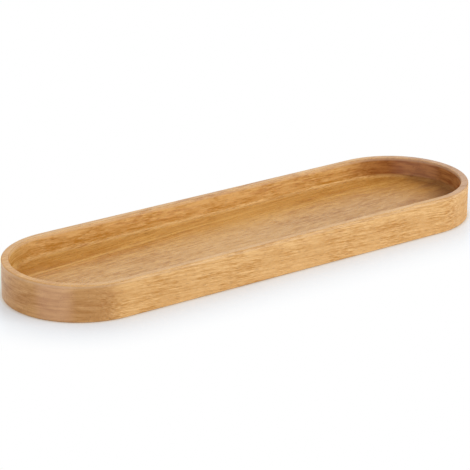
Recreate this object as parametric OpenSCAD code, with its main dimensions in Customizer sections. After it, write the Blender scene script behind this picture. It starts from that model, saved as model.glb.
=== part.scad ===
// Oblong wooden tray for pepper and salt mills: a blank of edge-glued staves with a routed pocket.
// Frame: +X along the tray, +Y to its back, +Z up, origin under its middle on the surface it stands on.

/* [Tray] */
// Length over both round ends
tray_length = 350; // [240:1:480]
// Width, which is also the diameter of the round ends
tray_width = 100; // [72:1:140]
// Height from the underside to the rim
tray_height = 24; // [18:0.5:40]

/* [Pocket] */
// Width of the rim, which is the thickness of the upright wall
wall_thickness = 5; // [3.6:0.1:10]
// Wood left under the pocket
floor_thickness = 10; // [5:0.5:15]
// Radius of the cove that joins the wall to the pocket floor
cove_radius = 3; // [1:0.25:5]

/* [Edges] */
// Rounding of the rim's outer edge
rim_outer_round = 0.9; // [0.3:0.1:1.5]
// Rounding of the rim's inner edge
rim_inner_round = 0.7; // [0.3:0.1:1.5]
// Rounding of the lower edge
foot_round = 0.8; // [0.3:0.1:3]

/* [Staves] */
// Width of the middle stave between its two glue lines
middle_stave_width = 33; // [16:1:48]

/* [Hidden] */
$fn = 128;
// How far a cutting shape runs past what it cuts
overrun = 1;
end_radius = tray_width / 2;
straight_length = tray_length - tray_width;
pocket_radius = end_radius - wall_thickness;
glue_line = middle_stave_width / 2;
front_tone = [0.84, 0.65, 0.42];
middle_tone = [0.79, 0.62, 0.43];
back_tone = [0.77, 0.56, 0.31];

// What a router takes off a square corner at the origin, whose material fills +X +Y, to round it
module corner_waste(radius) {
    difference() {
        translate([-overrun, -overrun]) square(radius + overrun);
        translate([radius, radius]) circle(radius);
    }
}

// The pocket's half section, from the tray's centre to the wall, with its cove
module pocket_section() {
    depth = tray_height - floor_thickness;
    difference() {
        translate([0, floor_thickness]) square([pocket_radius, depth + overrun]);
        translate([pocket_radius, floor_thickness]) difference() {
            translate([-cove_radius, 0]) square(cove_radius);
            translate([-cove_radius, cove_radius]) circle(cove_radius);
        }
    }
}

// The tray's half section, from its centre plane out to the wall
module wall_section() {
    difference() {
        square([end_radius, tray_height]);
        pocket_section();
        translate([end_radius, 0]) mirror([1, 0]) corner_waste(foot_round);
        translate([end_radius, tray_height]) rotate(180) corner_waste(rim_outer_round);
        translate([pocket_radius, tray_height]) mirror([0, 1]) corner_waste(rim_inner_round);
    }
}

// One round end, turned about the end's own centre, on the +X side
module round_end() {
    translate([straight_length / 2, 0, 0]) rotate(-90) rotate_extrude(angle = 180) wall_section();
}

// The straight run between the two round ends
module straight_run() {
    translate([-straight_length / 2, 0, 0]) rotate([90, 0, 90]) linear_extrude(straight_length) {
        wall_section();
        mirror([1, 0]) wall_section();
    }
}

// The whole routed blank, before it is told apart into its staves
module routed_blank() {
    round_end();
    mirror([1, 0, 0]) round_end();
    straight_run();
}

// The part of the blank that lies between two planes across its width
module stave(from_y, to_y) {
    intersection() {
        routed_blank();
        translate([-tray_length / 2 - overrun, from_y, -overrun])
            cube([tray_length + 2 * overrun, to_y - from_y, tray_height + 2 * overrun]);
    }
}

// The stave that carries the front wall
module front_stave() {
    color(front_tone) stave(-end_radius - overrun, -glue_line);
}

// The stave under the middle of the pocket, with a piece of both end walls
module middle_stave() {
    color(middle_tone) stave(-glue_line, glue_line);
}

// The stave that carries the back wall
module back_stave() {
    color(back_tone) stave(glue_line, end_radius + overrun);
}

front_stave();
middle_stave();
back_stave();
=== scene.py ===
"""Model and finish a pepper mill tray of edge-glued acacia staves, standing in a white studio.

Lengths are in metres unless a name ends in _mm. +X runs along the tray, +Y to its back and +Z up.
"""

import functools
import logging
import math
from collections.abc import Callable, Iterable
from dataclasses import dataclass
from enum import Enum

import bmesh
import bpy
from mathutils import Matrix, Vector


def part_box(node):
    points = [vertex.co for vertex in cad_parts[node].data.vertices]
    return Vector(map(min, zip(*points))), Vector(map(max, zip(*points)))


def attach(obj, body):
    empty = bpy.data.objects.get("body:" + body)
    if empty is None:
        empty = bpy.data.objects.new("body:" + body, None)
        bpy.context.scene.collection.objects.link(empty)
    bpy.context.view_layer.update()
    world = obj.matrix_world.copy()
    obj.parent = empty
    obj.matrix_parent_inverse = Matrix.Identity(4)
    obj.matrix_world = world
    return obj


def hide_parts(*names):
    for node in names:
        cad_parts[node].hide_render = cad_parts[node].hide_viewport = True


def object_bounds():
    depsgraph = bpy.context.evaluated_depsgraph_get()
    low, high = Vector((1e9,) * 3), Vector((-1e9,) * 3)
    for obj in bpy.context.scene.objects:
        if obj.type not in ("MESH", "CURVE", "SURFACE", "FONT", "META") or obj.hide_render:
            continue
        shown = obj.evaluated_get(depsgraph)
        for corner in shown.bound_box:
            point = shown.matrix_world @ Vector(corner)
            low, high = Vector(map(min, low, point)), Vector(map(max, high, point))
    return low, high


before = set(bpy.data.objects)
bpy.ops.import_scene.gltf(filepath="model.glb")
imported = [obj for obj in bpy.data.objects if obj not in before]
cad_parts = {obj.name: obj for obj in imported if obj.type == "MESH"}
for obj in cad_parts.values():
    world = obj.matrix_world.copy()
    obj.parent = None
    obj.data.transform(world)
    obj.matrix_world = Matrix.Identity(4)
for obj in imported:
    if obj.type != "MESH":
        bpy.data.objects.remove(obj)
CAD_BOX: tuple[Vector, Vector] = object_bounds()

LOG = logging.getLogger("mill_tray")
BODY = "root"
WOOD_SLOT = "oiled_acacia"
MM = 0.001
MM_PER_METRE = 1000.0
MERGE = 0.001 * MM
MIRROR_MERGE = 0.005 * MM
SLACK = 0.01 * MM
ROUND_PROFILE = 0.5
NOISE_MEAN = 0.5

Colour = tuple[float, float, float, float]
Triple = tuple[float, float, float]
Weights = tuple[tuple[str, float], ...]
Socket = bpy.types.NodeSocket
Sockets = bpy.types.bpy_prop_collection
Source = Socket | float | tuple
Sources = dict[str, Source] | Iterable[Source]
Wiring = dict[str, Socket]
VECTOR = "NodeSocketVector"
FLOAT = "NodeSocketFloat"


class Stave(str, Enum):
    """The three staves that the blank is glued up from, named as the CAD nodes are."""

    FRONT = "front_stave"
    MIDDLE = "middle_stave"
    BACK = "back_stave"


class Edit:
    """Edit mode on one object, with its parts picked by where they lie."""

    def __init__(self, piece: bpy.types.Object) -> None:
        """Remember the object that is edited."""
        self.piece = piece

    def __enter__(self) -> "Edit":
        """Select only this object and open it in edit mode.

        Returns:
            This edit.
        """
        only(self.piece)
        bpy.ops.object.mode_set(mode="EDIT")
        bpy.ops.mesh.select_mode(type="VERT")
        return self

    def __exit__(self, *problem: object) -> None:
        """Go back to object mode."""
        bpy.ops.object.mode_set(mode="OBJECT")

    def everything(self) -> None:
        """Select the whole mesh."""
        bpy.ops.mesh.select_all(action="SELECT")

    def points(self, test: Callable[[Vector], bool]) -> None:
        """Select the vertices that pass a test, with the edges and faces between them.

        Args:
            test: Says of a vertex's place whether it is picked.
        """
        bpy.ops.mesh.select_all(action="DESELECT")
        mesh = bmesh.from_edit_mesh(self.piece.data)
        for vertex in mesh.verts:
            if test(vertex.co):
                vertex.select = True
        mesh.select_flush(True)
        bmesh.update_edit_mesh(self.piece.data)

    def faces(self, test: Callable[[bmesh.types.BMFace], bool]) -> None:
        """Select the faces that pass a test.

        Args:
            test: Says of a face whether it is picked.
        """
        bpy.ops.mesh.select_mode(type="FACE")
        bpy.ops.mesh.select_all(action="DESELECT")
        mesh = bmesh.from_edit_mesh(self.piece.data)
        for face in mesh.faces:
            if test(face):
                face.select_set(True)
        bmesh.update_edit_mesh(self.piece.data)


def only(piece: bpy.types.Object) -> None:
    """Make one object the only selected one, and the active one.

    Args:
        piece: The object.
    """
    bpy.ops.object.select_all(action="DESELECT")
    piece.select_set(True)
    bpy.context.view_layer.objects.active = piece


def near(value: float, target: float) -> bool:
    """Say whether two lengths agree to within a hundredth of a millimetre."""
    return abs(value - target) < SLACK


@dataclass
class RoutedTray:
    """The glued blank, routed to its outline and pocket, and told apart into its staves."""

    length: float
    width: float
    height: float
    glue_line: float
    wall: float = 5.0 * MM
    floor: float = 10.0 * MM
    cove: float = 3.0 * MM
    rim_outer_round: float = 0.9 * MM
    rim_inner_round: float = 0.7 * MM
    foot_round: float = 0.8 * MM
    end_steps: int = 48
    run_steps: int = 10
    round_steps: int = 6
    cove_steps: int = 10
    straight: float = math.radians(1.0)
    crease: float = math.radians(35.0)

    @classmethod
    def from_frame(cls) -> "RoutedTray":
        """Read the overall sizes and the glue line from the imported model.

        Returns:
            The tray at its packed size.
        """
        low, high = CAD_BOX
        size = high - low
        return cls(size.x, size.y, size.z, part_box(Stave.MIDDLE.value)[1].y)

    @property
    def end_radius(self) -> float:
        """Radius of the round ends."""
        return self.width / 2

    @property
    def pocket_radius(self) -> float:
        """Radius of the pocket's round ends."""
        return self.end_radius - self.wall

    @property
    def half_run(self) -> float:
        """Half the length of the straight walls."""
        return self.length / 2 - self.end_radius

    def section(self) -> bpy.types.Object:
        """Draw the front half of the tray's section as one open outline, where the right end begins.

        Returns:
            A mesh object of edges, from the middle of the underside round the wall to the pocket's middle.
        """
        inside = self.pocket_radius
        block_middle = Vector((self.half_run, -self.end_radius + self.wall / 2, self.floor / 2))
        bpy.ops.object.select_all(action="DESELECT")
        bpy.ops.mesh.primitive_plane_add(size=1.0, location=block_middle, rotation=(0.0, math.pi / 2, 0.0))
        outline = bpy.context.object
        outline.name = "tray_blank"
        bpy.ops.object.transform_apply(location=True, rotation=True, scale=True)
        with Edit(outline) as edit:
            edit.everything()
            bpy.ops.transform.resize(value=(1.0, self.wall, self.floor), center_override=block_middle)
            edit.points(lambda place: near(place.y, -inside))
            bpy.ops.mesh.extrude_edges_move(TRANSFORM_OT_translate={"value": (0.0, inside, 0.0)})
            edit.points(lambda place: near(place.z, self.floor) and place.y < -inside / 2)
            bpy.ops.mesh.extrude_edges_move(
                TRANSFORM_OT_translate={"value": (0.0, 0.0, self.height - self.floor)}
            )
            edit.everything()
            bpy.ops.mesh.remove_doubles(threshold=MERGE)
            bpy.ops.mesh.dissolve_limited(angle_limit=self.straight)
            corners = (
                (-self.end_radius, 0.0, self.foot_round, self.round_steps),
                (-self.end_radius, self.height, self.rim_outer_round, self.round_steps),
                (-inside, self.height, self.rim_inner_round, self.round_steps),
                (-inside, self.floor, self.cove, self.cove_steps),
            )
            for corner_y, corner_z, radius, steps in corners:
                edit.points(lambda place: near(place.y, corner_y) and near(place.z, corner_z))
                bpy.ops.mesh.bevel(offset=radius, segments=steps, profile=ROUND_PROFILE, affect="VERTICES")
            edit.everything()
            bpy.ops.mesh.delete(type="ONLY_FACE")
            edit.points(lambda place: near(place.y, 0.0))
            bpy.ops.mesh.select_mode(type="EDGE")
            bpy.ops.mesh.delete(type="EDGE")
        return outline

    def blank(self) -> bpy.types.Object:
        """Turn the section round a quarter of one end, run it along the wall, and mirror it both ways.

        Returns:
            The whole routed tray as one closed mesh.
        """
        tray = self.section()
        with Edit(tray) as edit:
            edit.everything()
            bpy.ops.mesh.spin(
                steps=self.end_steps,
                angle=math.pi / 2,
                center=(self.half_run, 0.0, 0.0),
                axis=(0.0, 0.0, -1.0),
            )
            edit.everything()
            bpy.ops.mesh.remove_doubles(threshold=MERGE)
            edit.points(lambda place: near(place.x, self.half_run))
            step = -self.half_run / self.run_steps
            for _ in range(self.run_steps):
                bpy.ops.mesh.extrude_edges_move(TRANSFORM_OT_translate={"value": (step, 0.0, 0.0)})
        bpy.ops.object.modifier_add(type="MIRROR")
        mirror = tray.modifiers[-1]
        mirror.use_axis = (True, True, False)
        mirror.merge_threshold = MIRROR_MERGE
        bpy.ops.object.modifier_apply(modifier=mirror.name)
        with Edit(tray) as edit:
            edit.everything()
            bpy.ops.mesh.remove_doubles(threshold=MIRROR_MERGE)
            bpy.ops.mesh.normals_make_consistent(inside=False)
        return tray

    def part_between(
        self, blank: bpy.types.Object, stave: Stave, low_y: float, high_y: float
    ) -> bpy.types.Object:
        """Saw one stave out of a copy of the blank.

        Args:
            blank: The whole routed tray.
            stave: Which stave this is.
            low_y: The plane in front of the stave.
            high_y: The plane behind the stave.

        Returns:
            The stave, closed where it was glued.
        """
        only(blank)
        bpy.ops.object.duplicate()
        piece = bpy.context.object
        piece.name = f"acacia_{stave.value}"
        piece.data.name = piece.name
        cuts = [(low_y, True), (high_y, False)]
        with Edit(piece) as edit:
            for cut_y, behind in cuts:
                if abs(cut_y) > self.end_radius:
                    continue  # The outline bounds the stave on this side, and there is nothing to saw.
                bpy.ops.mesh.select_mode(type="VERT")
                edit.everything()
                bpy.ops.mesh.bisect(
                    plane_co=(0.0, cut_y, 0.0),
                    plane_no=(0.0, 1.0, 0.0),
                    use_fill=True,
                    clear_inner=behind,
                    clear_outer=not behind,
                    threshold=MERGE,
                )
                edit.faces(lambda face: len(face.verts) > 4)
                bpy.ops.mesh.quads_convert_to_tris(ngon_method="BEAUTY")
        bpy.ops.object.shade_smooth_by_angle(angle=self.crease)
        bpy.ops.object.modifier_add(type="WEIGHTED_NORMAL")
        weighted = piece.modifiers[-1]
        weighted.keep_sharp = True
        bpy.ops.object.modifier_apply(modifier=weighted.name)
        return piece

    def staves(self) -> dict[Stave, bpy.types.Object]:
        """Build the tray and part it along its glue lines.

        Returns:
            Each stave's finished mesh object.
        """
        blank = self.blank()
        beyond = self.width
        planes = {
            Stave.FRONT: (-beyond, -self.glue_line),
            Stave.MIDDLE: (-self.glue_line, self.glue_line),
            Stave.BACK: (self.glue_line, beyond),
        }
        pieces = {stave: self.part_between(blank, stave, *ends) for stave, ends in planes.items()}
        bpy.data.objects.remove(blank)
        return pieces

    def dress(
        self, piece: bpy.types.Object, stave: Stave, finish: "OiledAcacia", effects: "WoodEffects"
    ) -> None:
        """Give a stave its finish, and put it in the place of its CAD node.

        Args:
            piece: The stave's mesh object.
            stave: Which stave this is.
            finish: The finish.
            effects: The shared node groups.
        """
        dressing = StaveDressing(finish, stave, FIGURES[stave], self, effects)
        piece.data.materials.clear()
        piece.data.materials.append(dressing.build())
        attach(piece, BODY)
        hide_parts(stave.value)


@dataclass(frozen=True)
class Fade:
    """An eased change from one value to another, between two readings of what drives it.

    Where `about` is given, the reading's distance from it, to either side, drives the change.
    """

    start: float
    end: float
    first: float = 0.0
    last: float = 1.0
    about: float | None = None


class Nodes:
    """A node tree that is laid out by short calls."""

    def __init__(self, tree: bpy.types.NodeTree) -> None:
        """Remember the tree that is filled."""
        self.tree = tree

    def add(self, kind: str, sources: Sources = (), **settings: object) -> Sockets:
        """Add one node, and link each of its inputs to an output or set the input's own value.

        Args:
            kind: The node's type name.
            sources: The outputs or values that feed its inputs, by name or in their order.
            settings: Properties of the node, by name.

        Returns:
            Its outputs.
        """
        node = self.tree.nodes.new(kind)
        for name, value in settings.items():
            setattr(node, name, value)
        named = sources.items() if isinstance(sources, dict) else enumerate(sources)
        for label, source in named:
            if isinstance(source, bpy.types.NodeSocket):
                self.tree.links.new(source, node.inputs[label])
            else:
                node.inputs[label].default_value = source
        return node.outputs

    def show(self, shader: Socket, output: str = "ShaderNodeOutputMaterial") -> None:
        """Give the material or the world its shader."""
        self.add(output, {"Surface": shader})

    def math(self, operation: str, *values: Socket | float) -> Socket:
        """Add a Math node, and give its result."""
        return self.add("ShaderNodeMath", values, operation=operation)["Value"]

    def vector(self, operation: str, *values: Socket | tuple) -> Socket:
        """Add a Vector Math node, and give its vector, or its number where the operation gives one."""
        outputs = self.add("ShaderNodeVectorMath", values, operation=operation)
        return outputs["Value" if operation in ("LENGTH", "DOT_PRODUCT") else "Vector"]

    def total(self, *values: Socket | float) -> Socket:
        """Add values up."""
        return functools.reduce(lambda done, value: self.math("ADD", done, value), values)

    def product(self, *values: Socket | float) -> Socket:
        """Multiply values together."""
        return functools.reduce(lambda done, value: self.math("MULTIPLY", done, value), values)

    def without(self, mask: Socket) -> Socket:
        """Turn a mask round, so that it shows where it didn't."""
        return self.math("SUBTRACT", 1.0, mask)

    def shift(self, value: Socket, where: Socket, amount: Socket | float) -> Socket:
        """Add an amount to a value where a mask shows."""
        return self.math("MULTIPLY_ADD", where, amount, value)

    def axes(self, place: Socket) -> Sockets:
        """Split a place or a direction into its X, Y and Z."""
        return self.add("ShaderNodeSeparateXYZ", {"Vector": place})

    def joined(self, axes: Sources) -> Socket:
        """Put a place or a direction together from its X, Y and Z, each 0 where it isn't given."""
        return self.add("ShaderNodeCombineXYZ", axes)["Vector"]

    def from_run(self, place: Socket, half_run: Socket | float) -> Socket:
        """Measure how far a place lies from the line that the tray's outline runs round.

        Args:
            place: The place, in any unit.
            half_run: Half that line's length, in the same unit.

        Returns:
            The distance, seen from above.
        """
        axes = self.axes(place)
        past_run = self.math("SUBTRACT", self.math("ABSOLUTE", axes["X"]), half_run)
        around = self.joined({"X": self.math("MAXIMUM", past_run, 0.0), "Y": axes["Y"]})
        return self.vector("LENGTH", around)

    def apart(self, reading: Socket, middle: Socket | float) -> Socket:
        """Measure how far a reading lies from a middle value, to either side."""
        return self.math("ABSOLUTE", self.math("SUBTRACT", reading, middle))

    def fade(self, reading: Socket, fade: Fade) -> Socket:
        """Ease from a fade's first value to its last, and hold it at both ends.

        Args:
            reading: What drives the fade.
            fade: Where it starts and ends, and at which values.

        Returns:
            The eased value.
        """
        if fade.about is not None:
            reading = self.apart(reading, fade.about)
        sources = (reading, fade.start, fade.end, fade.first, fade.last)
        return self.add("ShaderNodeMapRange", sources, interpolation_type="SMOOTHSTEP")["Result"]

    def fades(self, *pairs: tuple[Socket, Fade]) -> Socket:
        """Multiply fades together, each driven by its own reading."""
        return self.product(*(self.fade(reading, fade) for reading, fade in pairs))

    def sway(self, middle: float, *patterns: tuple[Socket, float]) -> Socket:
        """Add up patterns, each by how far it departs from a noise's mean.

        Args:
            middle: The value where every pattern is at that mean.
            patterns: Each pattern and its weight.

        Returns:
            The sum.
        """
        result: Socket | float = middle - NOISE_MEAN * sum(weight for _, weight in patterns)
        for pattern, weight in patterns:
            result = self.math("MULTIPLY_ADD", pattern, weight, result)
        return result

    def stretch(self, place: Socket, scale: Triple) -> Socket:
        """Scale a place along each axis."""
        return self.vector("MULTIPLY", place, scale)

    def noise(self, place: Socket, detail: float = 2.0, roughness: float = 0.5) -> Sockets:
        """Add a noise with one cell per unit of a place, and give it as a value and as a colour."""
        sources = {"Vector": place, "Scale": 1.0, "Detail": detail, "Roughness": roughness}
        return self.add("ShaderNodeTexNoise", sources)

    def choose(self, which: Socket, first: Socket | float, second: Socket | float) -> Socket:
        """Give the first value where a mask is 0 and the second where it is 1."""
        sources = {"Factor": which, "A": first, "B": second}
        return self.add("ShaderNodeMix", sources, data_type="FLOAT")["Result"]

    def blend(
        self, mode: str, amount: Socket | float, under: Socket | Colour, over: Socket | Colour
    ) -> Socket:
        """Lay one colour over another in one of the ways that they mix, by how much of it shows."""
        sources = {"Factor": amount, "A": under, "B": over}
        return self.add("ShaderNodeMix", sources, data_type="RGBA", blend_type=mode)["Result"]


def emptied(owner: bpy.types.Material | bpy.types.World) -> Nodes:
    """Clear the node tree of a new material or world.

    Args:
        owner: The material or the world.

    Returns:
        Its tree.
    """
    owner.use_nodes = True
    owner.node_tree.nodes.clear()
    return Nodes(owner.node_tree)


class SharedEffect:
    """A shader node group that each stave's finish places with its own values."""

    name = ""
    inputs: dict[str, str] = {}
    outputs: dict[str, str] = {}

    def __init__(self) -> None:
        """Build the group once."""
        self.group = bpy.data.node_groups.new(self.name, "ShaderNodeTree")
        for side, sockets in (("INPUT", self.inputs), ("OUTPUT", self.outputs)):
            for label, kind in sockets.items():
                self.group.interface.new_socket(name=label, in_out=side, socket_type=kind)
        self.nodes = Nodes(self.group)
        self.given = self.nodes.add("NodeGroupInput")
        self.nodes.add("NodeGroupOutput", self.wire())

    def wire(self) -> Wiring:
        """Lay out the group's nodes, and give the socket that feeds each output."""
        raise NotImplementedError

    def place(self, nodes: Nodes, **values: Source) -> Sockets:
        """Put the group into a material, fed by name, with underscores for spaces."""
        sources = {label.replace("_", " "): value for label, value in values.items()}
        return nodes.add("ShaderNodeGroup", sources, node_tree=self.group)


class GrainRun(SharedEffect):
    """Bends the place, in millimetres, so that fibres and rings wander as they do in a real plank."""

    name = "grain_run"
    inputs = {
        "Place": VECTOR,
        "Seed": VECTOR,
        "Bend": FLOAT,
        "Bent At": FLOAT,
        "Straight From": FLOAT,
        "Fall": FLOAT,
        "Waver": FLOAT,
    }
    outputs = {"Place": VECTOR}
    bend_power = 1.5
    swirl_cells = (0.012, 0.05, 0.05)

    def wire(self) -> Wiring:
        """Shift the place across the plank, by a bend that straightens out, a steady fall and a waver.

        Returns:
            The socket that feeds each output.
        """
        nodes, given = self.nodes, self.given
        along = nodes.axes(given["Place"])["X"]
        reach = (along, given["Straight From"], given["Bent At"])
        eased = nodes.math("POWER", nodes.add("ShaderNodeMapRange", reach)["Result"], self.bend_power)
        bend, fall = nodes.product(eased, given["Bend"]), nodes.product(along, given["Fall"])
        seeded = nodes.vector("ADD", given["Place"], given["Seed"])
        swirl = nodes.noise(nodes.stretch(seeded, self.swirl_cells))["Color"]
        swirl = nodes.vector("SUBTRACT", swirl, (NOISE_MEAN,) * 3)
        wandered = nodes.vector("ADD", seeded, nodes.vector("MULTIPLY", swirl, given["Waver"]))
        return {"Place": nodes.vector("ADD", wandered, nodes.joined({"Y": bend, "Z": fall}))}


class GrowthRings(SharedEffect):
    """The tree's year rings, as shells round a pith that runs beside the stave."""

    name = "growth_rings"
    inputs = {"Place": VECTOR, "Pith": VECTOR, "Ring Width": FLOAT}
    outputs = {"Tone": FLOAT, "Late Wood": FLOAT}
    band_noise = {"Scale": 0.55, "Detail": 3.0, "Roughness": 0.62}
    late_begins = Fade(0.35, 0.92)
    late_ends = Fade(0.93, 1.0, 1.0, 0.0)

    def wire(self) -> Wiring:
        """Measure how far from the pith a place lies, and read the ring there.

        Returns:
            The socket that feeds each output.
        """
        nodes, given = self.nodes, self.given
        from_pith = nodes.vector("SUBTRACT", given["Place"], given["Pith"])
        across = nodes.vector("LENGTH", nodes.stretch(from_pith, (0.0, 1.0, 1.0)))
        ring = nodes.math("DIVIDE", across, given["Ring Width"])
        bands = nodes.add("ShaderNodeTexNoise", {"W": ring, **self.band_noise}, noise_dimensions="1D")
        year = nodes.math("FRACT", ring)
        late = nodes.fades((year, self.late_begins), (year, self.late_ends))
        return {"Tone": bands["Fac"], "Late Wood": late}


class Vein(SharedEffect):
    """A pale line of sapwood with a dark band on either side, as a sheet that stands in the plank."""

    name = "vein"
    inputs = {"Place": VECTOR, "Centre": VECTOR}
    outputs = {"Pale": FLOAT, "Dark": FLOAT}
    pale_line = Fade(0.3, 1.2, 1.0, 0.0, about=0.0)
    pale_along = Fade(20.0, 100.0, 1.0, 0.0)
    front_band = Fade(1.8, 4.6, 1.0, 0.0, about=-5.5)
    front_along = Fade(-90.0, 20.0, 1.0, 0.4)
    back_band_begins = Fade(0.6, 2.0)
    back_band_ends = Fade(6.0, 14.0, 1.0, 0.0)
    back_along = Fade(-120.0, -20.0, 1.0, 0.1)

    def wire(self) -> Wiring:
        """Measure how far behind the sheet a place lies, and fade the bands out along the plank.

        Returns:
            The socket that feeds each output.
        """
        nodes, given = self.nodes, self.given
        axes = nodes.axes(nodes.vector("SUBTRACT", given["Place"], given["Centre"]))
        along, behind = axes["X"], axes["Y"]
        pale = nodes.fades((behind, self.pale_line), (along, self.pale_along))
        in_front = nodes.fades((behind, self.front_band), (along, self.front_along))
        up_to_wall = nodes.fades(
            (behind, self.back_band_begins), (behind, self.back_band_ends), (along, self.back_along)
        )
        return {"Pale": pale, "Dark": nodes.math("MAXIMUM", in_front, up_to_wall)}


class StretchedNoise(SharedEffect):
    """A set of noises, each by its cells per millimetre along each axis, its detail and its roughness."""

    inputs = {"Place": VECTOR}
    patterns: dict[str, tuple[Triple, float, float]] = {}

    def wire(self) -> Wiring:
        """Stretch a noise for each pattern.

        Returns:
            The socket that feeds each output.
        """
        nodes, given = self.nodes, self.given
        return {
            label: nodes.noise(nodes.stretch(given["Place"], cells), detail, roughness)["Fac"]
            for label, (cells, detail, roughness) in self.patterns.items()
        }


class Fibres(StretchedNoise):
    """Streaks that lie along the grain, in several widths, and the faint curl that crosses it."""

    name = "fibres"
    patterns = {
        "Broad": ((0.006, 0.11, 0.11), 2.0, 0.5),
        "Streak": ((0.09, 0.40, 0.40), 2.0, 0.6),
        "Fine": ((0.22, 1.50, 1.50), 1.0, 0.5),
        "Hair": ((0.045, 1.60, 1.60), 1.0, 0.5),
        "Long": ((0.008, 0.70, 0.70), 2.0, 0.5),
        "Curl": ((0.06, 0.07, 0.07), 1.0, 0.5),
    }
    outputs = dict.fromkeys(patterns, FLOAT)


class EndGrain(StretchedNoise):
    """The figure that shows where the staves' ends are cut across, level from stave to stave."""

    name = "end_grain"
    patterns = {
        "Bands": ((0.02, 0.02, 0.24), 2.0, 0.6),
        "Mottle": ((0.10, 0.10, 0.45), 2.0, 0.5),
        "Threads": ((0.05, 0.05, 1.30), 1.0, 0.5),
    }
    outputs = dict.fromkeys(patterns, FLOAT)


class Pores(SharedEffect):
    """Open vessels: short dark dashes along the grain, and dots where the grain ends."""

    name = "pores"
    inputs = {"Place": VECTOR, "Share": FLOAT}
    outputs = {"Pore": FLOAT}
    cells_per_mm = (0.15, 1.05, 1.05)
    core = Fade(0.12, 0.34, 1.0, 0.0)

    def wire(self) -> Wiring:
        """Keep a share of the cells of a stretched pattern, and fade each one out from its middle.

        Returns:
            The socket that feeds each output.
        """
        nodes, given = self.nodes, self.given
        stretched = {"Vector": nodes.stretch(given["Place"], self.cells_per_mm), "Scale": 1.0}
        cells = nodes.add("ShaderNodeTexVoronoi", stretched, feature="F1")
        chance = nodes.add("ShaderNodeSeparateColor", {"Color": cells["Color"]})["Red"]
        kept = nodes.math("LESS_THAN", chance, given["Share"])
        return {"Pore": nodes.product(nodes.fade(cells["Distance"], self.core), kept)}


class SawnFaces(SharedEffect):
    """Tells the faces of a plank apart: ends that cut the fibres across, broad flats, the ends masked for
    painted shade and those masked for a painted sheen.
    """

    name = "sawn_faces"
    inputs = {"Normal": VECTOR}
    outputs = {
        "End": FLOAT,
        "Shaded End": FLOAT,
        "Right Facing End": FLOAT,
        "Sheen Outside": FLOAT,
        "Sheen Inside": FLOAT,
        "Flat": FLOAT,
    }
    end = Fade(0.10, 0.55, about=0.0)
    # Ends facing -X, masked for a painted shade over the end grain's own darkness.
    shaded_end = Fade(0.0, -0.31)
    shaded_upright = Fade(0.2, 0.85, 1.0, 0.0, about=0.0)
    right_facing_end = Fade(0.15, 0.75)
    flat = Fade(0.3, 0.9, about=0.0)
    # Ends turned at these slants get a painted sheen, laid into the colour.
    outside_slant = (-0.799, -0.602, 0.0)
    outside_sheen = Fade(0.955, 0.997)
    inside_slant = (-0.866, -0.5, 0.0)
    inside_sheen = Fade(0.89, 0.985)

    def wire(self) -> Wiring:
        """Read how far the surface turns to face along the tray, and up or down.

        Ends that face towards -X are masked for a painted shade, over the end grain's own darkness. Ends
        turned towards (-0.8, -0.6), outside and in the pocket, are masked for a painted sheen.

        Returns:
            The socket that feeds each output.
        """
        nodes, normal = self.nodes, self.given["Normal"]
        axes = nodes.axes(normal)
        outside = nodes.vector("DOT_PRODUCT", normal, self.outside_slant)
        inside = nodes.vector("DOT_PRODUCT", normal, self.inside_slant)
        return {
            "End": nodes.fade(axes["X"], self.end),
            "Shaded End": nodes.fades((axes["X"], self.shaded_end), (axes["Z"], self.shaded_upright)),
            "Right Facing End": nodes.fade(axes["X"], self.right_facing_end),
            "Sheen Outside": nodes.fade(outside, self.outside_sheen),
            "Sheen Inside": nodes.fade(inside, self.inside_sheen),
            "Flat": nodes.fade(axes["Z"], self.flat),
        }


class PocketMask(SharedEffect):
    """Finds the routed pocket, whose floor and walls are tinted apart from the outside."""

    name = "pocket_mask"
    inputs = {"Place": VECTOR, "Half Run": FLOAT, "Wall": FLOAT}
    outputs = {"Inside": FLOAT}
    inside_wall = Fade(0.1, 0.6, 1.0, 0.0)
    above_underside = Fade(2.0, 8.0)

    def wire(self) -> Wiring:
        """Measure how far a place lies beyond the pocket's wall, in millimetres.

        Returns:
            The socket that feeds each output.
        """
        nodes, given = self.nodes, self.given
        beyond = nodes.math("SUBTRACT", nodes.from_run(given["Place"], given["Half Run"]), given["Wall"])
        height = nodes.axes(given["Place"])["Z"]
        return {"Inside": nodes.fades((beyond, self.inside_wall), (height, self.above_underside))}


class EndDarkening(SharedEffect):
    """Masks that ease in towards the tray's ends, most of all towards the right one; they carry the painted
    shade on the floor by the end walls and the tints of the rim's ends.
    """

    name = "end_darkening_masks"
    inputs = {"Place": VECTOR, "Ragged": FLOAT}
    outputs = {"Right": FLOAT, "Left": FLOAT}
    right_slant = (0.97, -0.26, 0.0)
    raggedness = 40.0
    right = Fade(112.0, 168.0)
    left = Fade(-128.0, -168.0)

    def wire(self) -> Wiring:
        """Ease in along the board, in millimetres, with a ragged edge that follows the fibres.

        Returns:
            The socket that feeds each output.
        """
        nodes, given = self.nodes, self.given
        slanted = nodes.vector("DOT_PRODUCT", given["Place"], self.right_slant)
        ragged = nodes.total(slanted, nodes.sway(0.0, (given["Ragged"], self.raggedness)))
        along = nodes.axes(given["Place"])["X"]
        return {"Right": nodes.fade(ragged, self.right), "Left": nodes.fade(along, self.left)}


class GlueLine(SharedEffect):
    """The hairline where two staves were glued and sanded flush."""

    name = "glue_line"
    inputs = {"Place": VECTOR, "Joint": FLOAT}
    outputs = {"Line": FLOAT}
    hairline = Fade(0.03, 0.12, 1.0, 0.0)

    def wire(self) -> Wiring:
        """Measure the distance to the nearest joint, in millimetres.

        Returns:
            The socket that feeds each output.
        """
        nodes, given = self.nodes, self.given
        from_middle = nodes.math("ABSOLUTE", nodes.axes(given["Place"])["Y"])
        return {"Line": nodes.fade(nodes.apart(from_middle, given["Joint"]), self.hairline)}


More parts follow.
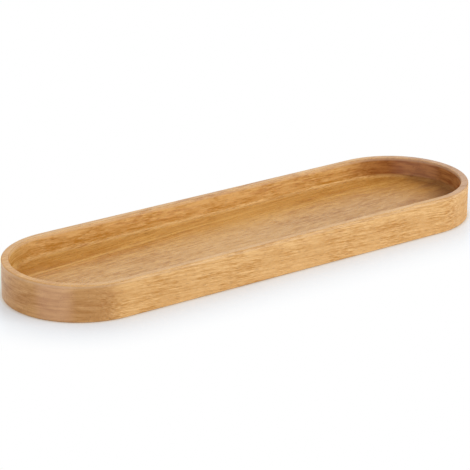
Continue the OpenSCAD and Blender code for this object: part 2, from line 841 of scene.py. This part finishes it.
class WoodEffects:
    """The node groups that the three staves share."""

    def __init__(self) -> None:
        """Build each group once."""
        self.run = GrainRun()
        self.rings = GrowthRings()
        self.vein = Vein()
        self.fibres = Fibres()
        self.ends = EndGrain()
        self.pores = Pores()
        self.faces = SawnFaces()
        self.pocket = PocketMask()
        self.end_darkening = EndDarkening()
        self.glue = GlueLine()


@dataclass(frozen=True)
class Figure:
    """How one stave's plank was sawn: where its pith lay and how its grain runs. Lengths in millimetres."""

    seed: Triple
    pith: Triple
    ring_width: float
    bend: float
    straight_from: float
    fall: float
    waver: float
    rings: float
    streaks: float
    curl: float
    fine: float
    long: float
    red_streaks: float
    drift: float = 0.0
    vein: float | None = None
    bent_at: float = -175.0
    lean: float = 0.42
    pore_share: float = 0.4


FIGURES: dict[Stave, Figure] = {
    Stave.FRONT: Figure(
        seed=(310.0, 40.0, 20.0),
        pith=(0.0, -18.0, -95.0),
        ring_width=2.6,
        bend=4.0,
        straight_from=160.0,
        fall=0.06,
        waver=3.0,
        rings=0.2,
        streaks=0.3,
        curl=0.35,
        fine=2.75,
        long=0.5,
        red_streaks=0.15,
    ),
    Stave.MIDDLE: Figure(
        seed=(128.5, 327.8, 225.8),
        pith=(0.0, 2.0, -92.0),
        ring_width=3.6,
        bend=9.0,
        straight_from=130.0,
        fall=0.03,
        waver=4.0,
        rings=0.3,
        streaks=0.8,
        curl=0.35,
        fine=4.2,
        long=0.3,
        red_streaks=0.25,
        drift=0.05,
    ),
    Stave.BACK: Figure(
        seed=(-262.1, -21.2, 180.2),
        pith=(0.0, 22.0, 96.0),
        ring_width=2.8,
        bend=20.7,
        straight_from=110.0,
        fall=0.03,
        waver=3.0,
        rings=0.25,
        streaks=0.4,
        curl=0.12,
        fine=2.7,
        long=1.5,
        red_streaks=0.4,
        vein=38.5,
    ),
}


@dataclass(frozen=True)
class OiledAcacia:
    """Fine-sanded acacia under a thin coat of hard oil. Places in millimetres; a higher tone is darker."""

    # The wood's own colours, and those that lie over them: a painted sheen, and paler edges from wear and a
    # painted highlight.
    light: Colour = (0.86, 0.525, 0.213, 1.0)
    dark: Colour = (0.532, 0.235, 0.035, 1.0)
    red: Colour = (0.45, 0.16, 0.045, 1.0)
    pore: Colour = (0.24, 0.09, 0.025, 1.0)
    glue: Colour = (0.38, 0.17, 0.055, 1.0)
    # The painted sheen's colour, on the ends turned at a slant.
    painted_sheen: Colour = (0.96, 0.60, 0.46, 1.0)
    arris: Colour = (0.85, 0.68, 0.50, 1.0)
    red_streak: Fade = Fade(0.50, 0.62)
    red_broad: Fade = Fade(0.48, 0.60)
    pore_shows: float = 0.36
    glue_shows: float = 0.3
    painted_sheen_outside: float = 0.18
    painted_sheen_inside: float = 0.12
    # Paler upper edges of the walls: wear, and a painted highlight where the rounding catches the light.
    wear_and_highlight_height: Fade = Fade(21.4, 23.0)
    wear_and_highlight_outside: float = 0.18
    wear_and_highlight_inside: float = 0.36

    # What the wood's colour is multiplied by on each part of the tray; some of these tints are painted
    # shade, a painted shadow or a painted reflection.
    # Painted shade on the floor towards both end walls.
    end_darkening: Colour = (0.73, 0.66, 0.55, 1.0)
    # A painted shadow on the floor by the right end wall.
    end_floor_shadow: Colour = (0.66, 0.58, 0.52, 1.0)
    rim_right: Colour = (0.79, 0.79, 1.14, 1.0)
    rim_left: Colour = (0.96, 0.88, 0.69, 1.0)
    # Ends that face -X: the end grain's own darkness and painted shade.
    shaded_end: Colour = (0.755, 0.68, 0.62, 1.0)
    right_facing_end: Colour = (0.965, 1.01, 0.94, 1.0)
    flat: Colour = (0.89, 0.895, 0.945, 1.0)
    pocket_flat: Colour = (0.885, 0.816, 0.604, 1.0)
    pocket_wall: Colour = (1.0, 1.03, 1.01, 1.0)
    # Painted shade on the pocket's right end wall, over its end grain.
    inner_end_shade: Colour = (0.68, 0.50, 0.33, 1.0)
    # A painted reflection: the back of the floor is tinted deeper where it mirrors the back wall.
    back_floor_reflection: Colour = (0.99, 0.965, 0.86, 1.0)
    pink_floor: Colour = (0.94, 0.945, 1.0, 1.0)
    vein_band: Colour = (1.0, 0.945, 0.87, 1.0)

    # Where those parts begin and end.
    cove_top: Fade = Fade(10.8, 13.4)
    right_end: Fade = Fade(109.0, 149.0)
    end_floor_shadow_share: Fade = Fade(0.55, 1.0)
    # How much of the painted shade on the floor the left end gets, and how deep it is.
    left_floor_shade: float = 0.4
    end_floor_shade_depth: float = 0.85
    floor_slant: Triple = (-0.05, 1.0, 0.0)
    floor_front: Fade = Fade(20.0, -6.0)
    pink_begins: Fade = Fade(-50.0, 40.0)
    pink_ends: Fade = Fade(100.0, 150.0, 1.0, 0.0)

    # The tone of the grain itself.
    lines: Weights = (("Fine", 0.45), ("Hair", 0.55))
    lively: Fade = Fade(0.30, 0.70, 0.5, 1.5)
    lines_on_rim: float = 0.5
    late_wood: float = 0.25
    broad: float = 0.40
    drift_span: float = 100.0
    end_fine: float = 0.25
    end_figure: Weights = (("Bands", 0.8), ("Mottle", 1.3), ("Threads", 0.8))
    dark_end_figure: Weights = (("Bands", 0.3), ("Mottle", 1.8), ("Threads", 0.9))
    light_end_figure: Weights = (("Threads", 0.9),)
    light_end_tone: float = -0.10
    pale_vein_tone: float = -0.50
    vein_band_tone: float = 0.22
    shadow_calms: float = 0.6

    # How the tone shifts along the tray (X), across it (Y) and with the height, with painted shade on the
    # pocket's walls and a painted sheen and highlight on its floor.
    # Painted shade on the pocket's wall: darker towards its foot, lighter at its top.
    wall_foot_shade: Fade = Fade(12.5, 21.5, 0.22, -0.36)
    wall_left: Fade = Fade(-20.0, -110.0, 0.0, 0.30)
    wall_belt: Fade = Fade(1.5, 6.5, 1.0, 0.0, about=17.0)
    wall_right: Fade = Fade(30.0, 100.0, 1.0, 0.6)
    # On the shaded right end wall, how the painted shade from foot to top changes towards the front.
    inner_end_shade_across: Fade = Fade(2.0, 14.0, -0.3, 0.7)
    outer_along: Fade = Fade(40.0, 125.0, 0.0, 0.08, about=22.0)
    outer_height: Fade = Fade(3.0, 9.5, 0.05, -0.10, about=11.5)
    floor_along: Fade = Fade(30.0, 105.0, -0.08, 0.10, about=-5.0)
    # A painted sheen along the floor's front edge, and a painted highlight in the back cove.
    front_sheen_across: Fade = Fade(-8.5, -13.0)
    front_sheen_along: Fade = Fade(0.0, 70.0, -0.16, 0.0)
    cove_highlight_across: Fade = Fade(39.0, 42.0)
    cove_highlight_along: Fade = Fade(50.0, 100.0, -0.22, 0.0)

    # Gloss and relief.
    roughness: Fade = Fade(0.3, 0.7, 0.21, 0.33)
    end_roughness: float = 0.33
    shaded_end_roughness: float = 0.08
    inner_end_roughness: float = 0.3
    floor_roughness: float = 0.05
    shadow_roughness: float = 0.3
    pore_roughness: float = 0.1
    oil_index: float = 1.5
    pore_relief: float = -0.6
    bump_strength: float = 0.5
    bump_depth: float = 0.03 * MM


class WoodSurface:
    """A new material's tree, with the place and the direction of the surface that it colours."""

    def __init__(self, name: str) -> None:
        """Start the material, with nothing in it but the surface's place, in millimetres, and normal.

        Args:
            name: The material's name.
        """
        self.material = bpy.data.materials.new(name)
        self.nodes = emptied(self.material)
        where = self.nodes.add("ShaderNodeTexCoord")
        self.place = self.nodes.stretch(where["Object"], (MM_PER_METRE,) * 3)
        self.normal = where["Normal"]


class StaveGrain:
    """One stave's own figure, laid out in its material."""

    def __init__(self, surface: WoodSurface, figure: Figure, effects: WoodEffects) -> None:
        """Place the effects that follow the stave's grain.

        Args:
            surface: The material that is laid out.
            figure: How the stave's plank was sawn.
            effects: The shared node groups.
        """
        nodes = surface.nodes
        run = effects.run.place(
            nodes,
            Place=surface.place,
            Seed=figure.seed,
            Bend=figure.bend,
            Bent_At=figure.bent_at,
            Straight_From=figure.straight_from,
            Fall=figure.fall,
            Waver=figure.waver,
        )["Place"]
        pith = tuple(offset + centre for offset, centre in zip(figure.seed, figure.pith))
        self.rings = effects.rings.place(nodes, Place=run, Pith=pith, Ring_Width=figure.ring_width)
        self.fibres = effects.fibres.place(nodes, Place=run)
        self.ends = effects.ends.place(nodes, Place=surface.place)
        self.pores = effects.pores.place(nodes, Place=run, Share=figure.pore_share)["Pore"]
        self.vein: Sockets | None = None
        if figure.vein is not None:
            centre = (figure.seed[0], figure.seed[1] + figure.vein, 0.0)
            self.vein = effects.vein.place(nodes, Place=run, Centre=centre)


class TrayParts:
    """Masks that tell the tray's parts apart: 1 on the part and 0 off it."""

    def __init__(
        self,
        surface: WoodSurface,
        finish: OiledAcacia,
        tray: RoutedTray,
        effects: WoodEffects,
        ragged: Socket,
    ) -> None:
        """Find each part by its place and the way that it faces.

        Args:
            surface: The material that is laid out.
            finish: Says where the parts begin and end.
            tray: The tray that the stave is part of.
            effects: The shared node groups.
            ragged: The pattern that the edge of the darkening towards the right end follows.
        """
        nodes, place = surface.nodes, surface.place
        self.along, self.across, self.height = nodes.axes(place)
        faces = effects.faces.place(nodes, Normal=surface.normal)
        end_darkening = effects.end_darkening.place(nodes, Place=place, Ragged=ragged)
        self.glue = effects.glue.place(nodes, Place=place, Joint=tray.glue_line * MM_PER_METRE)["Line"]
        self.pocket = effects.pocket.place(
            nodes,
            Place=place,
            Half_Run=tray.half_run * MM_PER_METRE,
            Wall=tray.pocket_radius * MM_PER_METRE,
        )["Inside"]
        above_cove = nodes.fade(self.height, finish.cove_top)
        self.low_pocket = nodes.product(self.pocket, nodes.without(above_cove))

        self.flat = faces["Flat"]
        self.pocket_floor = nodes.product(self.pocket, self.flat)
        self.rim = nodes.product(self.flat, nodes.without(self.pocket))
        self.rim_right = nodes.product(end_darkening["Right"], self.rim)
        self.rim_left = nodes.product(end_darkening["Left"], self.rim)
        # The painted shadow on the floor by the right end.
        shadow_reach = nodes.fade(end_darkening["Right"], finish.end_floor_shadow_share)
        self.end_floor_shadow = nodes.product(shadow_reach, self.low_pocket)
        # Painted shade on the floor by both end walls.
        either_end = nodes.math("MAXIMUM", end_darkening["Right"], nodes.product(end_darkening["Left"], finish.left_floor_shade))
        self.floor_near_ends_shade = nodes.product(either_end, self.low_pocket, finish.end_floor_shade_depth)
        slanted = nodes.vector("DOT_PRODUCT", place, finish.floor_slant)
        self.front_floor = nodes.product(nodes.fade(slanted, finish.floor_front), self.pocket_floor)
        # The back of the floor, tinted as a painted reflection of the back wall.
        self.back_floor_reflection = nodes.math("SUBTRACT", self.pocket_floor, self.front_floor)
        pink = nodes.fades((self.along, finish.pink_begins), (self.along, finish.pink_ends))
        self.pink_floor = nodes.product(pink, self.front_floor)

        self.upright = nodes.without(self.flat)
        self.pocket_wall = nodes.product(self.pocket, self.upright)
        self.outer_wall = nodes.math("SUBTRACT", self.upright, self.pocket_wall)
        self.end = faces["End"]
        right_end = nodes.product(nodes.fade(self.along, finish.right_end), self.upright)
        # Ends facing -X, and the pocket's right end wall, masked for painted shade.
        self.shaded_end = nodes.choose(self.pocket, faces["Shaded End"], right_end)
        self.inner_end = nodes.product(self.pocket, self.shaded_end)
        # The right end wall above the cove, masked for painted shade.
        self.shaded_inner_end = nodes.product(self.inner_end, above_cove)
        self.light_end = nodes.product(self.pocket_wall, faces["Right Facing End"])
        # Where the painted sheen shows, and how strongly.
        self.painted_sheen_share = nodes.choose(
            self.pocket,
            nodes.product(faces["Sheen Outside"], finish.painted_sheen_outside),
            nodes.product(faces["Sheen Inside"], finish.painted_sheen_inside),
        )


class StaveDressing:
    """Lays out one stave's material from its grain, the tray's parts on it and the finish."""

    def __init__(
        self, finish: OiledAcacia, stave: Stave, figure: Figure, tray: RoutedTray, effects: WoodEffects
    ) -> None:
        """Start the material, and find the grain and the parts that its colour and gloss follow.

        Args:
            finish: The finish.
            stave: The stave that is dressed.
            figure: How its plank was sawn.
            tray: The tray that the stave is part of.
            effects: The shared node groups.
        """
        surface = WoodSurface(f"{WOOD_SLOT}_{stave.value}")
        self.material = surface.material
        self.nodes = surface.nodes
        self.finish = finish
        self.figure = figure
        self.grain = StaveGrain(surface, figure, effects)
        self.parts = TrayParts(surface, finish, tray, effects, self.grain.fibres["Broad"])
        self.lines = self.figured(NOISE_MEAN, self.grain.fibres, finish.lines)
        self.pale_vein: Socket | None = None
        self.vein_band: Socket | None = None
        if self.grain.vein is not None:
            along_grain = self.nodes.without(self.parts.end)
            self.pale_vein = self.nodes.product(self.grain.vein["Pale"], along_grain, self.parts.pocket)
            self.vein_band = self.nodes.product(self.grain.vein["Dark"], self.parts.pocket)

    def figured(self, middle: float, patterns: Sockets, weights: Weights) -> Socket:
        """Sway a value by some of an effect's patterns."""
        return self.nodes.sway(middle, *((patterns[label], weight) for label, weight in weights))

    def plank_tone(self) -> Socket:
        """Add up the plank's rings, streaks and lines, with calmer lines on the rim.

        Returns:
            The tone on faces that run along the grain.
        """
        nodes, finish, figure = self.nodes, self.finish, self.figure
        rings, fibres = self.grain.rings, self.grain.fibres
        tone = nodes.sway(
            figure.lean,
            (rings["Tone"], figure.rings),
            (rings["Late Wood"], figure.rings * finish.late_wood),
            (fibres["Broad"], finish.broad),
            (fibres["Streak"], figure.streaks),
            (fibres["Curl"], figure.curl),
            (fibres["Long"], figure.long),
        )
        drift = Fade(-finish.drift_span, finish.drift_span, -figure.drift, figure.drift)
        lines = nodes.product(
            nodes.sway(0.0, (self.lines, figure.fine)),
            nodes.fade(fibres["Curl"], finish.lively),
            nodes.choose(self.parts.rim, 1.0, finish.lines_on_rim),
        )
        return nodes.total(tone, lines, nodes.fade(self.parts.along, drift))

    def floor_tone_and_light(self) -> Socket:
        """Tone the pocket's floor: paler in the middle and darker towards the ends, with a painted sheen
        along the front and a painted highlight in the back cove.

        Returns:
            What the floor adds to the tone.
        """
        nodes, finish, parts = self.nodes, self.finish, self.parts
        along, across = parts.along, parts.across
        return nodes.total(
            nodes.fade(along, finish.floor_along),
            nodes.fades((across, finish.front_sheen_across), (along, finish.front_sheen_along)),
            nodes.fades((across, finish.cove_highlight_across), (along, finish.cove_highlight_along)),
        )

    def wall_shade(self) -> Socket:
        """Paint shade on the pocket's wall: darker towards its foot and lighter at its top, darker in a
        belt to the left, evener towards the right end, and weaker or turned over on the shaded right end
        wall.

        Returns:
            What the wall adds to the tone.
        """
        nodes, finish, parts = self.nodes, self.finish, self.parts
        to_left = nodes.fades((parts.along, finish.wall_left), (parts.height, finish.wall_belt))
        fall = nodes.total(nodes.fade(parts.height, finish.wall_foot_shade), to_left)
        at_end = nodes.choose(parts.shaded_inner_end, 1.0, nodes.fade(parts.across, finish.inner_end_shade_across))
        return nodes.product(fall, nodes.fade(parts.along, finish.wall_right), at_end)

    def tone(self) -> Socket:
        """Put the plank's tone together with what each part of the tray adds to it.

        Returns:
            The tone, from 0 for light to 1 for dark.
        """
        nodes, finish, parts = self.nodes, self.finish, self.parts
        lean, ends = self.figure.lean, self.grain.ends
        tone = nodes.shift(self.plank_tone(), parts.low_pocket, self.floor_tone_and_light())
        # In the painted shadow by the right end, the figure is evened towards the plank's mean tone.
        tone = nodes.choose(nodes.product(parts.end_floor_shadow, finish.shadow_calms), tone, lean)
        end_lines = nodes.sway(0.0, (self.grain.fibres["Fine"], finish.end_fine))
        tone = nodes.choose(
            parts.end, tone, nodes.total(self.figured(lean, ends, finish.end_figure), end_lines)
        )
        outer_shade = nodes.total(
            nodes.fade(parts.along, finish.outer_along), nodes.fade(parts.height, finish.outer_height)
        )
        shades = [
            (parts.outer_wall, outer_shade),
            (parts.pocket_wall, self.wall_shade()),
            (parts.shaded_inner_end, self.figured(0.0, ends, finish.dark_end_figure)),
            (parts.light_end, self.figured(finish.light_end_tone, ends, finish.light_end_figure)),
        ]
        if self.grain.vein is not None:
            shades.append((self.pale_vein, finish.pale_vein_tone))
            shades.append((self.vein_band, finish.vein_band_tone))
        for where, shade in shades:
            tone = nodes.shift(tone, where, shade)
        return tone

    def colour(self) -> Socket:
        """Colour the wood by its tone, tint each part of the tray, and add what lies over it.

        Returns:
            The colour.
        """
        nodes, finish, parts, fibres = self.nodes, self.finish, self.parts, self.grain.fibres
        colour = nodes.blend("MIX", self.tone(), finish.light, finish.dark)
        if self.vein_band is not None:
            colour = nodes.blend("MULTIPLY", self.vein_band, colour, finish.vein_band)
        reds = nodes.fades((fibres["Streak"], finish.red_streak), (fibres["Broad"], finish.red_broad))
        colour = nodes.blend("MIX", nodes.product(reds, self.figure.red_streaks), colour, finish.red)
        colour = nodes.blend("MIX", nodes.product(self.grain.pores, finish.pore_shows), colour, finish.pore)
        # Some of these tints are painted: shade on the floor by the ends, on the shaded ends and on the
        # right end wall, a shadow by the right end, a reflection on the back floor.
        tints = [
            (parts.floor_near_ends_shade, finish.end_darkening),
            (parts.end_floor_shadow, finish.end_floor_shadow),
            (parts.rim_right, finish.rim_right),
            (parts.rim_left, finish.rim_left),
            (parts.shaded_end, finish.shaded_end),
            (parts.light_end, finish.right_facing_end),
            (parts.flat, finish.flat),
            (parts.pocket_floor, finish.pocket_flat),
            (parts.back_floor_reflection, finish.back_floor_reflection),
            (parts.pink_floor, finish.pink_floor),
            (parts.pocket_wall, finish.pocket_wall),
            (parts.shaded_inner_end, finish.inner_end_shade),
        ]
        for where, tint in tints:
            colour = nodes.blend("MULTIPLY", where, colour, tint)
        # Paler upper edges: wear and a painted highlight, twice as strong in the pocket.
        wear_and_highlight = nodes.product(
            nodes.fade(parts.height, finish.wear_and_highlight_height),
            parts.upright,
            nodes.choose(parts.pocket, finish.wear_and_highlight_outside, finish.wear_and_highlight_inside),
        )
        # Lay the painted sheen over the ends turned at a slant.
        colour = nodes.blend("MIX", parts.painted_sheen_share, colour, finish.painted_sheen)
        colour = nodes.blend("MIX", wear_and_highlight, colour, finish.arris)
        return nodes.blend("MIX", nodes.product(parts.glue, finish.glue_shows), colour, finish.glue)

    def roughness(self) -> Socket:
        """Dull the oil's shine on cut ends, on the floor and in the pores.

        Returns:
            The roughness.
        """
        nodes, finish, parts = self.nodes, self.finish, self.parts
        roughness = nodes.fade(self.grain.fibres["Streak"], finish.roughness)
        on_end = nodes.choose(parts.shaded_end, finish.end_roughness, finish.shaded_end_roughness)
        for where, more in (
            (parts.end, on_end),
            (parts.inner_end, finish.inner_end_roughness),
            (parts.pocket_floor, finish.floor_roughness),
            (parts.end_floor_shadow, finish.shadow_roughness),
            (self.grain.pores, finish.pore_roughness),
        ):
            roughness = nodes.shift(roughness, where, more)
        return roughness

    def relief(self) -> Socket:
        """Raise the fibres a little and sink the pores.

        Returns:
            The surface's normal.
        """
        nodes, finish = self.nodes, self.finish
        fibres = nodes.total(self.lines, self.grain.fibres["Streak"])
        bump = {
            "Strength": finish.bump_strength,
            "Distance": finish.bump_depth,
            "Height": nodes.shift(fibres, self.grain.pores, finish.pore_relief),
        }
        return nodes.add("ShaderNodeBump", bump)["Normal"]

    def build(self) -> bpy.types.Material:
        """Lay out the wood's shader.

        Returns:
            The finished material.
        """
        wood = {
            "Base Color": self.colour(),
            "Roughness": self.roughness(),
            "Normal": self.relief(),
            "IOR": self.finish.oil_index,
        }
        self.nodes.show(self.nodes.add("ShaderNodeBsdfPrincipled", wood)["BSDF"])
        return self.material


@dataclass(frozen=True)
class StudioFloor:
    """A wide white sheet under the tray, which shows white to the camera and keeps the tray's shadow."""

    side: float = 8.0
    albedo: float = 0.80
    shown_white: Colour = (0.668, 0.72, 0.775, 1.0)
    # A warm painted contact shadow within a few millimetres of the tray's foot.
    painted_contact_shadow: Colour = (0.92, 0.80, 0.62, 1.0)
    painted_contact_shadow_fade: Fade = Fade(0.0, 0.0025, 1.0, 0.0)
    white_fade: Fade = Fade(0.0, 0.048)
    glow: float = 0.20
    gloss: float = 0.10
    gloss_roughness: float = 0.22

    def build(self) -> None:
        """Lay the sheet just under the tray, and give it its material."""
        bpy.ops.object.select_all(action="DESELECT")
        bpy.ops.mesh.primitive_plane_add(size=self.side)
        sheet = bpy.context.object
        sheet.name = "studio_floor"
        sheet.data.materials.append(self.material())

    def material(self) -> bpy.types.Material:
        """Make a satin white that is lifted a little where the camera or a reflection sees it, with a
        painted contact shadow along the tray's foot.

        Returns:
            The sheet's material.
        """
        material = bpy.data.materials.new("white_sheet")
        nodes = emptied(material)
        seen = nodes.add("ShaderNodeLightPath")
        direct = nodes.math("MAXIMUM", seen["Is Camera Ray"], seen["Is Glossy Ray"])
        away = self.from_tray(nodes)
        plain_white = (self.albedo, self.albedo, self.albedo, 1.0)
        white = nodes.blend("MIX", seen["Is Camera Ray"], plain_white, self.shown_white)
        white = nodes.blend("MULTIPLY", nodes.fade(away, self.painted_contact_shadow_fade), white, self.painted_contact_shadow)
        matt = nodes.add("ShaderNodeBsdfDiffuse", {"Color": white})["BSDF"]
        satin = nodes.add("ShaderNodeBsdfGlossy", {"Roughness": self.gloss_roughness})["BSDF"]
        sheet = nodes.add("ShaderNodeMixShader", (self.gloss, matt, satin))["Shader"]
        glow = nodes.add("ShaderNodeEmission", {"Strength": nodes.product(direct, self.glow)})["Emission"]
        lit = nodes.add("ShaderNodeAddShader", (sheet, glow))["Shader"]
        plain = nodes.add("ShaderNodeEmission")["Emission"]
        clear = nodes.product(direct, nodes.fade(away, self.white_fade))
        nodes.show(nodes.add("ShaderNodeMixShader", (clear, lit, plain))["Shader"])
        return material

    def from_tray(self, nodes: Nodes) -> Socket:
        """Measure how far a place on the sheet lies from the tray's outline.

        Args:
            nodes: The sheet's tree.

        Returns:
            The distance in metres, below 0 under the tray.
        """
        low, high = CAD_BOX
        size = high - low
        edge = size.y / 2
        place = nodes.add("ShaderNodeTexCoord")["Object"]
        return nodes.math("SUBTRACT", nodes.from_run(place, size.x / 2 - edge), edge)


def towards(azimuth: float, elevation: float) -> Vector:
    """Point from the tray, by degrees round to the right from straight in front and by degrees up."""
    turn, rise = math.radians(azimuth), math.radians(elevation)
    return Vector((math.sin(turn) * math.cos(rise), -math.cos(turn) * math.cos(rise), math.sin(rise)))


@dataclass(frozen=True)
class SoftBox:
    """A square lamp that looks at the tray, and may be left out of what it mirrors."""

    name: str
    azimuth: float
    elevation: float
    distance: float
    side: float
    watts: float
    mirrored: bool

    def build(self) -> None:
        """Hang the lamp."""
        lamp = bpy.data.lights.new(self.name, "AREA")
        lamp.shape = "SQUARE"
        lamp.size = self.side
        lamp.energy = self.watts
        away = towards(self.azimuth, self.elevation)
        hung = bpy.data.objects.new(self.name, lamp)
        hung.location = away * self.distance
        hung.rotation_euler = away.to_track_quat("Z", "Y").to_euler()
        hung.visible_glossy = self.mirrored
        bpy.context.scene.collection.objects.link(hung)


@dataclass(frozen=True)
class Studio:
    """The white room round the tray, brightest at the backdrop behind it, and its lamps."""

    backdrop: Triple = (0.0, 0.6, 0.8)
    room_light: Fade = Fade(0.2, 0.85, 0.42, 1.2)
    left_light: float = 0.20
    shown_light: float = 1.0
    lamps: tuple[SoftBox, ...] = (
        SoftBox("key_softbox", 33.0, 36.0, distance=1.6, side=1.2, watts=14.3, mirrored=False),
        SoftBox("fill_softbox", -60.0, 14.0, distance=1.6, side=0.6, watts=3.2, mirrored=True),
    )

    def build(self) -> None:
        """Light the room, hang the lamps and lay the floor."""
        world = bpy.data.worlds.new("white_room")
        nodes = emptied(world)
        seen = nodes.add("ShaderNodeLightPath")
        looking = nodes.add("ShaderNodeTexCoord")["Generated"]
        behind = nodes.vector("DOT_PRODUCT", looking, self.backdrop)
        leftwards = nodes.math("MAXIMUM", nodes.product(nodes.axes(looking)["X"], -1.0), 0.0)
        strength = nodes.shift(nodes.fade(behind, self.room_light), leftwards, self.left_light)
        strength = nodes.choose(seen["Is Camera Ray"], strength, self.shown_light)
        shine = nodes.add("ShaderNodeBackground", {"Strength": strength})["Background"]
        nodes.show(shine, "ShaderNodeOutputWorld")
        bpy.context.scene.world = world
        for lamp in self.lamps:
            lamp.build()
        StudioFloor().build()


@dataclass(frozen=True)
class PhotoCamera:
    """The camera as it stood for the photograph, fitted to the tray's outline. Angles in degrees."""

    azimuth: float = -36.20
    elevation: float = 20.456
    roll: float = 0.204
    distance: float = 1.4991
    lens_mm: float = 176.7
    sensor_mm: float = 36.0
    aim_right: float = -6.588 * MM
    aim_up: float = 9.956 * MM
    clip_end: float = 100.0

    def build(self) -> None:
        """Set up the camera and make it the scene's own."""
        turn, tilt = math.radians(self.azimuth), math.radians(self.roll)
        level = Vector((math.cos(turn), math.sin(turn), 0.0))
        back = towards(self.azimuth, self.elevation)
        upright = back.cross(level)
        right = level * math.cos(tilt) + upright * math.sin(tilt)
        up = upright * math.cos(tilt) - level * math.sin(tilt)
        aim = right * self.aim_right + up * self.aim_up
        lens = bpy.data.cameras.new("photo_camera")
        lens.lens = self.lens_mm
        lens.sensor_width = self.sensor_mm
        lens.clip_end = self.clip_end
        camera = bpy.data.objects.new("photo_camera", lens)
        turned = Matrix((right, up, back)).transposed().to_4x4()
        camera.matrix_world = Matrix.Translation(aim + back * self.distance) @ turned
        bpy.context.scene.collection.objects.link(camera)
        bpy.context.scene.camera = camera


def main() -> None:
    """Build the camera, the studio and the tray, and report each piece."""
    logging.basicConfig(level=logging.INFO, format="%(name)s: %(message)s")
    bpy.context.scene.view_settings.view_transform = "Standard"
    PhotoCamera().build()
    Studio().build()
    tray = RoutedTray.from_frame()
    effects = WoodEffects()
    finish = OiledAcacia()
    for stave, piece in tray.staves().items():
        tray.dress(piece, stave, finish, effects)
        LOG.info("%s: %d faces", piece.name, len(piece.data.polygons))


if __name__ == "__main__":
    main()
